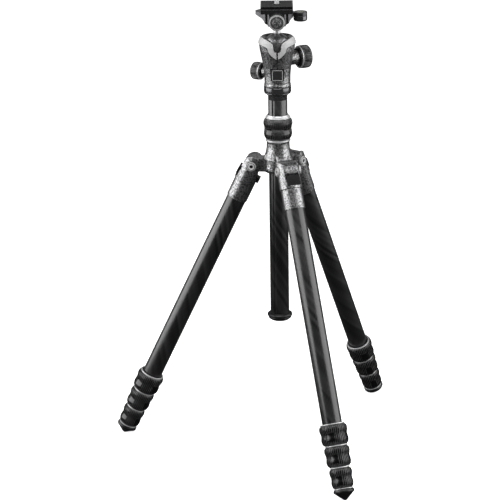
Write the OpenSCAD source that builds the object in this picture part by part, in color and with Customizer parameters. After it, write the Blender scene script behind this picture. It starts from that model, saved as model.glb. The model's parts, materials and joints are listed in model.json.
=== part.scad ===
// Travel camera tripod with three telescopic legs, a sliding centre column and a ball head.
// Millimetres. +Z is up. The origin is the centre of the camera plate's top face.
// Heights named *_z are measured from the plane of the three leg pivots.

/* [Legs] */
// Lean of each leg from the vertical
leg_lean = 25.5; // [24:0.5:27]
// Distance of a leg's pivot from the column axis
pivot_r = 32.7; // [32.5:0.1:34]
// Distance from a leg's pivot to the top of its first twist lock
lock_start = 323; // [300:1:340]
// Outer diameter of the widest leg tube
tube_d = 25; // [24.6:0.1:25.4]
// Difference in diameter between one leg tube and the next
tube_step = 3.6; // [3.6:0.1:3.8]
// Wall of the leg tubes
tube_wall = 1.3; // [1.1:0.1:1.3]
// Largest diameter of the first twist lock
lock_d = 35.5; // [34:0.5:36]
// Length of one twist lock
lock_len = 26.6; // [25:0.2:27]
// Largest diameter of a rubber foot
foot_d = 26.4; // [25:0.2:28]

/* [Column] */
// Outer diameter of the centre column
column_d = 24.3; // [24:0.1:24.4]
// Height of the column's top end
column_top_z = 91; // [88:1:98]
// Height of the column's bottom end
column_bottom_z = -199; // [-230:1:-180]
// Diameter of the column's end cap
cap_d = 32.2; // [30:0.2:33]

/* [Head] */
// Diameter of the ball
ball_d = 32.6; // [32:0.2:32.8]
// Height of the ball's centre
ball_z = 155; // [155:1:158]
// Diameter of the neck that carries the clamp
neck_d = 8.8; // [8:0.2:9]
// Angle by which the head is panned from the hub's own X axis
head_pan = 8.25; // [0:0.25:12]
// Direction of the ball lock, from the head's right side
ball_lock_dir = 25; // [20:1:30]
// Direction of the pan lock, from the head's right side
pan_lock_dir = 150; // [145:1:155]

/* [Clamp and camera plate] */
// Width of the camera plate and the clamp's jaws
plate_w = 40.4; // [38:0.2:41]
// Depth of the camera plate, across the dovetail
plate_depth = 38.4; // [38:0.1:39]
// Height of the camera plate's top face
plate_top_z = 208.3; // [208.3:0.1:210]
// Diameter of the camera screw's thread
camera_screw_d = 6.35; // [6.35:0.01:6.35]
// Length of the camera screw above the plate
camera_screw_len = 4.5; // [3:0.5:6]

/* [Hidden] */
$fn = 64;
LEGS = [1, 2, 3];
first_azimuth = 60;

// Running clearances: a turning fit, a sliding fit, and the gap between solids that never touch
turn_gap = 0.05;
slide_gap = 0.1;
free_gap = 0.3;

// Leg stations, measured down the leg from the pivot
lug_r = 11.5;
lug_half = 9;
arm_half = 8.7;
cheek_in = 9.3;
cheek_r = 12.3;
casting_r = 14.6;
casting_flat_x = 13.4;
crotch_s = 12;
casting_s = 24;
sleeve_r = 13.6;
sleeve_end_s = 50;
bolt_r = 3;
bolt_head_r = 6.1;
bolt_half = 16;
bolt_seat = 13.3;
lock_pitch = lock_len + 0.6;
grip_depth = 17;
tube_overlap = 5;
foot_s = lock_start + 3 * lock_pitch;
foot_r = foot_d / 2;

function tube_r(i) = (tube_d - (i - 1) * tube_step) / 2;
function tube_top_s(i) = casting_s + 0.5 + (i - 1) * tube_overlap;
function lock_s(i) = lock_start + (i - 1) * lock_pitch;
function lock_r(i) = lock_d / 2 - (i - 1) * 1.65;
function tube_end_s(i) = i < 4 ? lock_s(i) + grip_depth : foot_s + 3;

// Hub and column lock heights
hub_top_z = 34.4;
hub_bottom_z = -8.5;
bush_r = column_d / 2 + 0.85;
collar_top_z = 62;
collar_bottom_z = hub_top_z + 0.3;
groove_dir = 249;
groove_r = 2.8;
groove_depth = 1;

// Head heights
pan_base_z = 95.5;
body_bottom_z = 103.3;
body_top_z = 167;
ball_r = ball_d / 2;
neck_r = neck_d / 2;
cavity_r = ball_r + 1.05;
tilt_cone = 58.5;
ball_lock_z = 136.7;
pan_lock_z = 119.3;
spigot_r = 9;
badge_z = 113.1;
badge_w = 16.8;
badge_h = 14.8;

// Clamp heights
clamp_bottom_z = 183;
clamp_floor_z = 199.8;
dovetail_z = plate_top_z - 8;
knob_z = 191;
knob_front = 37;
jaw_bottom_z = 199.2;
level_x = 29.4;
level_r = 8.65;
level_top_z = 197.7;
level_cup_z = 186.2;
wing_start_x = 14.5;
wing_dir = 52;

// ---------- frames ----------

// Children are drawn from the pivot plane; this puts the plate's top face at Z = 0
module on_axis() translate([0, 0, -plate_top_z]) children();

// Children are drawn facing -Y, with the head's right side along +X
module in_head() on_axis() rotate([0, 0, head_pan]) children();

// Children are drawn with +Z down the leg from its pivot, -X outward and Y along the pivot bolt
module in_leg(k)
    on_axis() rotate([0, 0, first_azimuth + (k - 1) * 120])
        translate([pivot_r, 0, 0]) rotate([0, 180 - leg_lean, 0]) children();

// A cylinder along +X of direction dir, from radius r0 to r1, at height z
module spoke(dir, z, r, r0, r1)
    rotate([0, 0, dir]) translate([r0, 0, z]) rotate([0, 90, 0]) cylinder(r = r, h = r1 - r0);

// A ring or tube between two heights
module tube(r_out, r_in, z0, z1)
    difference() {
        translate([0, 0, z0]) cylinder(r = r_out, h = z1 - z0);
        translate([0, 0, z0 - 1]) cylinder(r = r_in, h = z1 - z0 + 2);
    }

// ---------- hub ----------

module hub_core()
    rotate_extrude() polygon([
        [bush_r + turn_gap, hub_bottom_z], [17, hub_bottom_z], [18.8, -5], [18.8, 9],
        [16.2, 16], [14.8, 23], [14.5, 30], [15.3, 32.5], [15.3, hub_top_z],
        [bush_r + turn_gap, hub_top_z]
    ]);

module hub_arm()
    rotate([90, 0, 0]) linear_extrude(2 * arm_half, center = true) polygon([
        [bush_r + 1.5, hub_bottom_z + 0.5], [pivot_r, hub_bottom_z + 0.5], [pivot_r, 9.4],
        [19.2, 9.4], [bush_r + 1.5, 15]
    ]);

// One notch in a lug for each leg angle that the catch holds
module stop_notches()
    for (angle = [0, 27, 60])
        rotate([0, -angle - leg_lean + 100, 0])
            translate([lug_r, 0, 0]) cube([3, 2 * lug_half + 2, 3.2], center = true);

module hub()
    color("dimgray") on_axis()
        difference() {
            union() {
                hub_core();
                for (k = LEGS)
                    rotate([0, 0, first_azimuth + (k - 1) * 120]) {
                        hub_arm();
                        translate([pivot_r, 0, 0]) rotate([90, 0, 0])
                            cylinder(r = lug_r, h = 2 * lug_half, center = true);
                    }
            }
            translate([0, 0, hub_bottom_z - 1]) cylinder(r = bush_r + turn_gap, h = 60);
            for (k = LEGS)
                rotate([0, 0, first_azimuth + (k - 1) * 120]) translate([pivot_r, 0, 0]) {
                    rotate([90, 0, 0]) cylinder(r = bolt_r + turn_gap, h = 40, center = true);
                    stop_notches();
                }
        }

// Split liner that the twist lock squeezes onto the column, with the key that runs in its groove
module column_bush()
    color("black") on_axis() {
        difference() {
            tube(bush_r, column_d / 2 + slide_gap, hub_bottom_z + 0.5, 58);
            rotate([0, 0, groove_dir + 180]) translate([0, -0.75, hub_top_z])
                cube([20, 1.5, 30]);
        }
        rotate([0, 0, groove_dir]) translate([column_d / 2 - 0.5, -1.1, hub_bottom_z + 2])
            cube([1, 2.2, 28]);
    }

// ---------- column ----------

// Outline of a twist lock of radius r: two rounded lobes and a waist, from z 0 to z h
function lobes(r, h) = [
    [r - 2.6, 0], [r - 1.4, 0.5], [r - 0.5, h * 0.1], [r - 0.25, h * 0.2], [r - 0.4, h * 0.32],
    [r - 1, h * 0.45], [r - 0.95, h * 0.52], [r - 0.2, h * 0.66], [r, h * 0.78],
    [r - 0.35, h * 0.9], [r - 1.3, h * 0.97], [r - 2.3, h]
];

module column_lock_collar()
    color([0.07, 0.07, 0.07]) on_axis() translate([0, 0, collar_bottom_z]) rotate_extrude()
        polygon(concat(lobes(18.5, collar_top_z - collar_bottom_z), [
            [bush_r + turn_gap, collar_top_z - collar_bottom_z], [bush_r + turn_gap, 0]
        ]));

module column_lock_ring()
    color("silver") on_axis() rotate_extrude() polygon([
        [bush_r - 0.4, collar_top_z + 0.1], [15.9, collar_top_z + 0.1], [15.6, collar_top_z + 1.2],
        [13.6, collar_top_z + 4.2], [bush_r - 0.4, collar_top_z + 4.2]
    ]);

module column_tube()
    color([0.12, 0.12, 0.13]) on_axis()
        difference() {
            tube(column_d / 2, column_d / 2 - 1.6, column_bottom_z, column_top_z - 5);
            rotate([0, 0, groove_dir])
                translate([column_d / 2 + groove_r - groove_depth, 0, column_bottom_z - 1])
                    cylinder(r = groove_r, h = column_top_z - column_bottom_z + 2);
        }

// Platform bonded into the column's top, flared to the head's base
module column_top()
    color([0.15, 0.15, 0.15]) on_axis() rotate_extrude() polygon([
        [4.85, column_top_z - 12], [10.5, column_top_z - 12], [10.5, column_top_z - 4.9],
        [column_d / 2, column_top_z - 4.9], [column_d / 2, column_top_z],
        [16.6, pan_base_z - 0.1], [4.85, pan_base_z - 0.1]
    ]);

module column_cap()
    color([0.05, 0.05, 0.05]) on_axis() rotate_extrude() polygon([
        [0, column_bottom_z - 9.5], [cap_d / 2 - 7, column_bottom_z - 9.5],
        [cap_d / 2 - 2.6, column_bottom_z - 8], [cap_d / 2 - 1.2, column_bottom_z - 5.6],
        [cap_d / 2 - 1.3, column_bottom_z - 4.9], [cap_d / 2, column_bottom_z - 3.4],
        [cap_d / 2 - 0.1, column_bottom_z - 2], [cap_d / 2 - 3.2, column_bottom_z + 0.6],
        [column_d / 2 + 0.1, column_bottom_z + 0.6], [column_d / 2 + 0.1, column_bottom_z - 0.1],
        [column_d / 2 - 1.7, column_bottom_z - 0.1], [column_d / 2 - 1.7, column_bottom_z + 14],
        [0, column_bottom_z + 14]
    ]);

module head_screw()
    color("silver") on_axis()
        translate([0, 0, column_top_z - 14]) cylinder(r = 4.76, h = 26);

module pan_base()
    color([0.1, 0.1, 0.1]) on_axis() rotate_extrude() polygon([
        [4.85, pan_base_z], [17, pan_base_z], [17.2, pan_base_z + 0.4],
        [17.2, body_bottom_z - 0.6], [16.8, body_bottom_z - 0.2],
        [spigot_r, body_bottom_z - 0.2], [spigot_r, pan_lock_z + 5],
        [0, pan_lock_z + 5], [0, column_top_z + 12.5], [4.85, column_top_z + 12.5]
    ]);

// ---------- ball head ----------

// Outer outline of the housing, grown outward by g
function housing(g = 0) = [
    [16.9 + g, body_bottom_z], [16.9 + g, body_bottom_z + 2.6], [16.4 + g, body_bottom_z + 3.2],
    [16.5 + g, 117], [17.4 + g, 127], [19.6 + g, 139], [21.9 + g, 150], [22.6 + g, 156],
    [22.2 + g, 161], [20.6 + g, 165.4], [19.6 + g, body_top_z]
];

// Half of the notch's outline, from its bottom to its flared top
function notch_side() = concat(
    [for (a = [-90:15:0]) [(neck_r + 0.35) * cos(a), ball_z + (neck_r + 0.35) * sin(a)]],
    [[5.1, 159], [6.2, 161.2], [8.4, 163.2], [12.6, 165.2], [19.4, 167.5], [19.4, 172]]
);

// The notch as seen from the front
module notch_outline()
    polygon(concat(notch_side(), [for (i = [len(notch_side()) - 1:-1:1])
        [-notch_side()[i][0], notch_side()[i][1]]]));

// What the neck needs to drop a quarter turn to the front
module front_notch()
    translate([0, -30, 0]) rotate([-90, 0, 0]) mirror([0, 1, 0]) linear_extrude(30) notch_outline();

// What the neck needs to lean to any side
module tilt_opening()
    rotate_extrude() polygon([
        [0, ball_z], [(body_top_z + 4 - ball_z) * tan(tilt_cone), body_top_z + 4], [0, body_top_z + 4]
    ]);

module head_body()
    color("dimgray") in_head()
        difference() {
            union() {
                rotate_extrude() polygon(concat([[0, body_bottom_z]], housing(), [[0, body_top_z]]));
                spoke(ball_lock_dir, ball_lock_z, 8.8, 12, 27.2);
                spoke(pan_lock_dir, pan_lock_z, 6.6, 12, 20.2);
            }
            translate([0, 0, ball_z]) sphere(r = cavity_r);
            translate([0, 0, 128]) cylinder(r = 11.3, h = 20);
            translate([0, 0, body_bottom_z - 1])
                cylinder(r = spigot_r + turn_gap, h = pan_lock_z + 5.3 - body_bottom_z + 1);
            tilt_opening();
            front_notch();
            translate([-0.9, -40, 143.5]) cube([1.8, 26, 10]);
            spoke(ball_lock_dir, ball_lock_z, 3 + turn_gap, 5, 40);
            spoke(pan_lock_dir, pan_lock_z, 3 + turn_gap, 5, 40);
            translate([-badge_w / 2 - 0.2, -20, badge_z - 0.2])
                cube([badge_w + 0.4, 5.6, badge_h + 0.4]);
        }

// Half of the trim's outline: down its outer edge, back up along the notch
function trim_side() = [
    [1, 141.6], [2.1, 142.1], [5.3, 144], [8.6, 147.2], [10.8, 150.1], [11.6, 153.3], [12.6, 155.7],
    [14.9, 157], [18, 157.8], [24.5, 158.6], [24.5, 168], [19.4, 167.4], [12.6, 165.1], [8.4, 163.2],
    [6.2, 161.2], [5.2, 159], [4.9, 155.5], [4.7, 152.6], [3.6, 150.9], [1, 150.2]
];

// Two polished plates that frame the notch
module head_trim()
    color("gainsboro") in_head()
        for (side = [0, 1]) mirror([side, 0, 0])
            intersection() {
                difference() {
                    rotate_extrude() polygon(concat([[10, body_bottom_z]], housing(1.3), [[10, body_top_z]]));
                    rotate_extrude() polygon(concat([[0, body_bottom_z - 1]], housing(0.05),
                        [[19.6, body_top_z + 1], [0, body_top_z + 1]]));
                }
                translate([0, -30, 0]) rotate([-90, 0, 0]) mirror([0, 1, 0])
                    linear_extrude(29.5) polygon(trim_side());
            }

module head_badge()
    color([0.05, 0.05, 0.05]) in_head()
        translate([-badge_w / 2, -18, badge_z]) cube([badge_w, 3.4, badge_h]);

// Nylon cup under the ball and nylon lip at the housing's opening
module ball_seats()
    color([0.08, 0.08, 0.08]) in_head() {
        difference() {
            translate([0, 0, 129]) cylinder(r = 11.2, h = 16);
            translate([0, 0, ball_z]) sphere(r = ball_r + slide_gap);
        }
        difference() {
            intersection() {
                translate([0, 0, ball_z]) sphere(r = cavity_r - slide_gap);
                translate([0, 0, 157.5]) cylinder(r = 30, h = 9);
            }
            translate([0, 0, ball_z]) sphere(r = ball_r + slide_gap);
            tilt_opening();
            front_notch();
        }
    }

module ball()
    color([0.25, 0.25, 0.26]) in_head() translate([0, 0, ball_z]) sphere(r = ball_r);

// Knob of radius r between radii r0 and r1, with rounded edges, hollow towards its shaft
module knob(dir, z, r, r0, r1)
    rotate([0, 0, dir]) translate([r0, 0, z]) rotate([0, 90, 0])
        rotate_extrude() polygon([
            [3, 0], [r - 1.6, 0], [r - 0.4, 1.2], [r - 0.2, 3], [r, 5],
            [r, r1 - r0 - 4], [r - 0.8, r1 - r0 - 1.8], [r - 2.6, r1 - r0 - 0.4],
            [r - 4.4, r1 - r0], [0, r1 - r0], [0, 8], [3, 8]
        ]);

module ball_lock_knob()
    color([0.07, 0.07, 0.07]) in_head() knob(ball_lock_dir, ball_lock_z, 14.7, 27.6, 44);

module ball_lock_shaft()
    color("silver") in_head() spoke(ball_lock_dir, ball_lock_z, 3, 11.4, 35.5);

module pan_lock_knob()
    color([0.07, 0.07, 0.07]) in_head() knob(pan_lock_dir, pan_lock_z, 11.3, 20.6, 35.3);

module pan_lock_shaft()
    color("silver") in_head() spoke(pan_lock_dir, pan_lock_z, 3, spigot_r + 0.2, 28.5);

// ---------- clamp ----------

module ball_neck()
    color("silver") in_head()
        difference() {
            rotate_extrude() polygon([
                [0, ball_z + ball_r - 2], [neck_r, ball_z + ball_r - 2], [neck_r, 178],
                [5.4, 181], [8, clamp_bottom_z - 0.1], [0, clamp_bottom_z - 0.1]
            ]);
            translate([0, 0, ball_z]) sphere(r = ball_r + free_gap);
        }

// Lower edge of one wing, from the base out to the tip
WING_EDGE = [[9, clamp_bottom_z], [10.6, 183.7], [15.1, 186.4], [16.6, 189.6], [18.9, 191.7]];

// The clamp seen from the front: a tapered base with a long wing and a short one
module clamp_outline()
    polygon(concat(WING_EDGE, [
        [20.4, 192.3], [20.4, clamp_floor_z], [-20.2, clamp_floor_z], [-20.2, clamp_floor_z - 1],
        [-26.6, clamp_floor_z - 1], [-26.6, 195.2], [-25.6, 194.4]
    ], [for (i = [len(WING_EDGE) - 1:-1:0]) [-WING_EDGE[i][0], WING_EDGE[i][1]]]));

module clamp_body()
    color([0.13, 0.13, 0.13]) in_head()
        difference() {
            union() {
                difference() {
                    translate([0, -16.4, 0]) rotate([-90, 0, 0]) mirror([0, 1, 0])
                        linear_extrude(38.9) clamp_outline();
                    // The wings narrow towards their tips
                    for (side = [0, 1]) mirror([side, 0, 0]) {
                        translate([wing_start_x, -16.4, 180]) rotate([0, 0, wing_dir])
                            translate([-30, -30, 0]) cube([60, 30, 40]);
                        translate([wing_start_x, 22.5, 180]) rotate([0, 0, -wing_dir])
                            translate([-30, 0, 0]) cube([60, 30, 40]);
                    }
                }
                translate([level_x, 0, level_top_z - 4.8]) cylinder(r = level_r, h = 4.8);
                translate([15, -4, level_top_z - 4.8]) cube([level_x - 15, 8, 4.8]);
                // Fixed jaw at the back
                translate([-plate_w / 2, 0, 0]) rotate([90, 0, 90]) linear_extrude(plate_w)
                    polygon([
                        [19, clamp_floor_z - 3], [22.5, clamp_floor_z - 3], [22.5, dovetail_z + 4.4],
                        [21.9, dovetail_z + 4.9], [16.3, dovetail_z + 4.9], [16.3, dovetail_z + 3.9],
                        [19, dovetail_z + 1.2]
                    ]);
            }
            translate([level_x, 0, level_top_z - 3.8]) cylinder(r = 6, h = 10);
            translate([0, -20, knob_z]) rotate([-90, 0, 0]) cylinder(r = 2.6, h = 16);
        }

module level_cup()
    color([0.06, 0.06, 0.06]) in_head() translate([level_x, 0, 0]) rotate_extrude() polygon([
        [0, level_cup_z], [level_r - 1, level_cup_z], [level_r, level_cup_z + 1.2],
        [level_r, level_top_z - 4.9], [0, level_top_z - 4.9]
    ]);

module level_vial()
    color([0.75, 0.85, 0.4, 0.6]) in_head()
        translate([level_x, 0, level_top_z - 3.75]) cylinder(r = 5.9, h = 3.6);

module clamp_jaw()
    color([0.06, 0.06, 0.06]) in_head()
        difference() {
            union() {
                translate([-plate_w / 2, 0, 0]) rotate([90, 0, 90]) linear_extrude(plate_w)
                    polygon([
                        [-19, jaw_bottom_z], [-22.5, jaw_bottom_z], [-22.5, dovetail_z + 4.4],
                        [-21.9, dovetail_z + 4.9], [-16.3, dovetail_z + 4.9], [-16.3, dovetail_z + 3.9],
                        [-19, dovetail_z + 1.2]
                    ]);
                // Block that the knob bears on, with its upright edges cut back
                translate([0, 0, clamp_bottom_z + 0.6]) linear_extrude(jaw_bottom_z - clamp_bottom_z)
                    polygon([
                        [-11.5, -16.7], [11.5, -16.7], [11.5, -20.6], [9.6, -22.5], [-9.6, -22.5],
                        [-11.5, -20.6]
                    ]);
            }
            translate([0, -25, knob_z]) rotate([-90, 0, 0]) cylinder(r = 2.5 + turn_gap, h = 12);
        }

module clamp_knob()
    color([0.07, 0.07, 0.07]) in_head()
        translate([0, -22.9, knob_z]) rotate([90, 0, 0]) rotate_extrude() polygon([
            [2.5, 0], [8.6, 0], [9.8, 1], [10.2, 3], [10.4, 5], [10.4, 11],
            [9.6, 13.2], [8.4, knob_front - 22.9], [0, knob_front - 22.9], [0, 8], [2.5, 8]
        ]);

module clamp_screw()
    color("silver") in_head()
        translate([0, -30.8, knob_z]) rotate([-90, 0, 0]) cylinder(r = 2.5, h = 22);

module camera_plate()
    color([0.1, 0.1, 0.1]) in_head()
        difference() {
            translate([-plate_w / 2, 0, 0]) rotate([90, 0, 90]) linear_extrude(plate_w)
                polygon([
                    [-18.7, dovetail_z], [18.7, dovetail_z], [18.7, dovetail_z + 1.1],
                    [16, dovetail_z + 3.8], [16, dovetail_z + 5.2],
                    [plate_depth / 2, dovetail_z + 5.4], [plate_depth / 2, plate_top_z - 0.4],
                    [plate_depth / 2 - 0.4, plate_top_z], [-plate_depth / 2 + 0.4, plate_top_z],
                    [-plate_depth / 2, plate_top_z - 0.4], [-plate_depth / 2, dovetail_z + 5.4],
                    [-16, dovetail_z + 5.2], [-16, dovetail_z + 3.8], [-18.7, dovetail_z + 1.1]
                ]);
            translate([0, 0, dovetail_z - 1]) cylinder(r = camera_screw_d / 2 + turn_gap, h = 12);
            translate([0, 0, dovetail_z - 1]) cylinder(r = 7, h = 5);
        }

// Camera screw with its slotted head in the plate's underside
module camera_screw()
    color("silver") in_head()
        difference() {
            union() {
                translate([0, 0, dovetail_z + 1.2]) cylinder(r = 6.8, h = 2.7);
                translate([0, 0, dovetail_z + 1.2])
                    cylinder(r = camera_screw_d / 2 - 0.3, h = plate_top_z - dovetail_z);
                translate([0, 0, plate_top_z]) cylinder(r = camera_screw_d / 2, h = camera_screw_len);
            }
            translate([-8, -0.8, dovetail_z + 0.2]) cube([16, 1.6, 2]);
        }

// ---------- legs ----------

// Casting that carries the upper tube and pivots on the hub's lug
module leg_top(k)
    color("dimgray") in_leg(k)
        difference() {
            union() {
                intersection() {
                    translate([0, 0, -20]) cylinder(r = casting_r, h = casting_s + 20);
                    translate([-20, -20, -20]) cube([20 + casting_flat_x, 40, 60]);
                    union() {
                        rotate([90, 0, 0]) cylinder(r = cheek_r, h = 40, center = true);
                        translate([-cheek_r, -20, 0]) cube([2 * cheek_r, 40, crotch_s + 2]);
                        translate([-20, -20, crotch_s + 2]) cube([40, 40, 20]);
                    }
                }
                translate([0, 0, casting_s - 1]) cylinder(r = sleeve_r, h = sleeve_end_s - casting_s + 1);
            }
            // Gap between the cheeks, for the lug
            translate([-20, -cheek_in, -20]) cube([40, 2 * cheek_in, 20 + crotch_s]);
            // Way through for the angle catch, and recesses for its tab and its nose
            translate([-20, -8.6, crotch_s - 1]) cube([40, 17.2, 5.1]);
            translate([-20, -8.6, 0]) cube([8.4, 17.2, 20.8]);
            translate([4.2, -6.3, crotch_s]) cube([13, 12.6, 7.3]);
            translate([0, 0, casting_s]) cylinder(r = tube_d / 2 + turn_gap, h = 40);
            rotate([90, 0, 0]) cylinder(r = bolt_r + turn_gap, h = 40, center = true);
            for (side = [-1, 1])
                translate([0, side * (bolt_seat + 5), 0]) rotate([90, 0, 0])
                    cylinder(r = bolt_head_r + 0.2, h = 10, center = true);
        }

module leg_bolt(k)
    color("silver") in_leg(k)
        difference() {
            union() {
                rotate([90, 0, 0]) cylinder(r = bolt_r, h = 2 * bolt_seat + 0.5, center = true);
                for (side = [0, 1]) mirror([0, side, 0])
                    translate([0, bolt_seat + 0.05, 0]) rotate([-90, 0, 0]) rotate_extrude() polygon([
                        [0, 0], [bolt_head_r, 0], [bolt_head_r, 2], [bolt_head_r - 0.7, bolt_half - bolt_seat],
                        [0, bolt_half - bolt_seat]
                    ]);
            }
            for (side = [0, 1]) mirror([0, side, 0])
                translate([0, bolt_half - 1.8, 0]) rotate([-90, 0, 0]) cylinder(r = 2.3, h = 3, $fn = 6);
        }

// Slider that sets the leg's angle: a tab outside, a bar through the casting and a nose inside
module angle_catch(k)
    color([0.05, 0.05, 0.05]) in_leg(k) {
        translate([-14.9, -8.3, 8]) cube([3, 16.6, 12.5]);
        translate([-12.2, -8.3, crotch_s + 0.2]) cube([22, 16.6, 3.6]);
        translate([9.5, -6, crotch_s + 0.4]) cube([6.9, 12, 6.6]);
    }

module leg_tube(k, i)
    color([0.12, 0.12, 0.13]) in_leg(k)
        tube(tube_r(i), tube_r(i) - tube_wall, tube_top_s(i), tube_end_s(i));

// Twist lock on the end of tube i, which tube i + 1 runs through
module leg_lock(k, i)
    color([0.07, 0.07, 0.07]) in_leg(k) translate([0, 0, lock_s(i) + lock_len]) mirror([0, 0, 1])
        rotate_extrude() polygon(concat(lobes(lock_r(i), lock_len), [
            [tube_r(i) + 0.15, lock_len], [tube_r(i) + 0.15, lock_len - grip_depth - 0.2],
            [tube_r(i + 1) + 0.15, lock_len - grip_depth - 0.2], [tube_r(i + 1) + 0.15, 0]
        ]));

module foot(k)
    color([0.06, 0.06, 0.06]) in_leg(k) translate([0, 0, foot_s]) rotate_extrude() polygon([
        [tube_r(4) + turn_gap, 0.1], [foot_r - 3, 0.1], [foot_r - 1, 0.8], [foot_r, 2.6], [foot_r, 4.2],
        [foot_r - 0.7, 5.6], [foot_r - 10.4, 13.2], [foot_r - 11.6, 14], [0, 14.2],
        [0, 3.1], [tube_r(4) + turn_gap, 3.1]
    ]);

// ---------- what is drawn ----------

hub();
column_bush();
column_lock_collar();
column_lock_ring();
column_tube();
column_top();
column_cap();
head_screw();
pan_base();
head_body();
head_trim();
head_badge();
ball_seats();
ball_lock_knob();
ball_lock_shaft();
pan_lock_knob();
pan_lock_shaft();
ball();
ball_neck();
clamp_body();
level_cup();
level_vial();
clamp_jaw();
clamp_knob();
clamp_screw();
camera_plate();
camera_screw();
for (k = LEGS) {
    leg_top(k);
    leg_bolt(k);
    angle_catch(k);
    foot(k);
    for (i = [1:4])
        leg_tube(k, i);
    for (i = [1:3])
        leg_lock(k, i);
}
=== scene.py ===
"""Travel tripod with a ball head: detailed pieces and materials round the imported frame.

Local frames are in millimetres. A leg's frame has its origin at the leg's pivot, Z down the leg, Y along
the pivot bolt and X inward. The head's frame has its origin at the ball's centre, X to the head's right
and -Y to its front. The axis frame has its origin on the column's axis at the height of the leg pivots.
"""
import json
import math

import bmesh
import bpy
from mathutils import Matrix, Vector
from mathutils.bvhtree import BVHTree

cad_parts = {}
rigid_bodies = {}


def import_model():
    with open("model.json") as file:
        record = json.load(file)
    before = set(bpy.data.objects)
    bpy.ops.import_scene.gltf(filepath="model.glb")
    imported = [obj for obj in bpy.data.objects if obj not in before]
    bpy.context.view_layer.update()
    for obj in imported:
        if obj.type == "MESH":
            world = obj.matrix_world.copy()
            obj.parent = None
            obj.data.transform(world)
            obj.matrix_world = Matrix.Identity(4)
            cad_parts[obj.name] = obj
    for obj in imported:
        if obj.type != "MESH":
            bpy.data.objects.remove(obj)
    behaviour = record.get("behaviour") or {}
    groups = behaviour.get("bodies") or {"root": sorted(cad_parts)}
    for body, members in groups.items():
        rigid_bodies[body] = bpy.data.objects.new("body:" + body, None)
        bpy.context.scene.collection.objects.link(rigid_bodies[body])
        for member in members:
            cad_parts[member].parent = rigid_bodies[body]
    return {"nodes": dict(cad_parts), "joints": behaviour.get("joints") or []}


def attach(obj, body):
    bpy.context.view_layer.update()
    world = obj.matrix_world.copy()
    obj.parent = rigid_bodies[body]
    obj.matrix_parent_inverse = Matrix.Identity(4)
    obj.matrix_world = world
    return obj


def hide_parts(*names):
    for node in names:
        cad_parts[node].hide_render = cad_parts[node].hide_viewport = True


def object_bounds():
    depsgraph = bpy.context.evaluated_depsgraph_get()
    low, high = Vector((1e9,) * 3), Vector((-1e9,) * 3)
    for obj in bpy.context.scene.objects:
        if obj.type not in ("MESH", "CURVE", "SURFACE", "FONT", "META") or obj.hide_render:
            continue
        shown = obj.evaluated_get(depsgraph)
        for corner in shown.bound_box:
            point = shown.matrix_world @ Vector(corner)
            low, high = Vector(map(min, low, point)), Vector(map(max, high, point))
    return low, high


for leftover in list(bpy.data.objects):
    bpy.data.objects.remove(leftover)

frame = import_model()
CAD_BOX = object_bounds()

MM = 0.001
LEGS = (1, 2, 3)
SHARP = math.radians(32)
JOINT = {j["name"]: j for j in frame["joints"]}


# ---------- frames ----------

def axes(origin, x, y, z):
    """A matrix from millimetres along x, y and z to metres in the row frame."""
    m = Matrix((x, y, z)).transposed().to_4x4() @ Matrix.Diagonal((MM, MM, MM, 1))
    m.translation = origin
    return m


def leg_frame(k):
    fold, down = JOINT[f"leg_fold_{k}"], JOINT[f"section2_{k}_slide"]
    y, z = Vector(fold["axis"]), Vector(down["axis"])
    return axes(Vector(fold["pos_m"]), y.cross(z), y, z)


def turned(base, angle, z=0.0):
    """A frame at height z on base's Z axis, whose own Z points out in direction angle (degrees from X)."""
    out = Matrix.Rotation(math.radians(angle), 4, "Z") @ Matrix.Rotation(math.radians(90), 4, "Y")
    return base @ Matrix.Translation((0, 0, z)) @ out


LEG = {k: leg_frame(k) for k in LEGS}
PIVOT_Z = JOINT["leg_fold_1"]["pos_m"][2]
AXIS = axes(Vector((0, 0, PIVOT_Z)), Vector((1, 0, 0)), Vector((0, 1, 0)), Vector((0, 0, 1)))
HEAD = axes(Vector(JOINT["tilt_side"]["pos_m"]), Vector(JOINT["tilt_front"]["axis"]),
            Vector(JOINT["tilt_side"]["axis"]), Vector((0, 0, 1)))


def local_box(node, matrix):
    """Lowest and highest corner of a CAD node in a local frame, in millimetres."""
    inverse = matrix.inverted()
    points = [inverse @ v.co for v in frame["nodes"][node].data.vertices]
    return (Vector([min(p[i] for p in points) for i in range(3)]),
            Vector([max(p[i] for p in points) for i in range(3)]))


def turned_size(node, matrix):
    """Radius, lowest Z and highest Z of a CAD node turned about a local Z axis."""
    low, high = local_box(node, matrix)
    return high.x, low.z, high.z


def height(joint):
    """How far a joint lies above the ball's centre, in millimetres."""
    return (Vector(JOINT[joint]["pos_m"]).z - HEAD.translation.z) / MM


def direction(joint, base):
    """The angle, in degrees from X, of a horizontal joint axis in a local frame."""
    v = base.to_3x3().inverted() @ Vector(JOINT[joint]["axis"])
    return math.degrees(math.atan2(v.y, v.x))


# ---------- mesh building ----------

def mesh_object(name, verts, faces, matrix, material, crests=None):
    """A mesh whose points are given in a local frame; its object keeps a clean rotation and no scale."""
    mesh = bpy.data.meshes.new(name)
    mesh.from_pydata([Vector(v) * MM for v in verts], [], faces)
    if crests:
        mesh.attributes.new("crest", "FLOAT", "POINT").data.foreach_set("value", crests)
    return finish_mesh(name, mesh, matrix, material)


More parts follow.
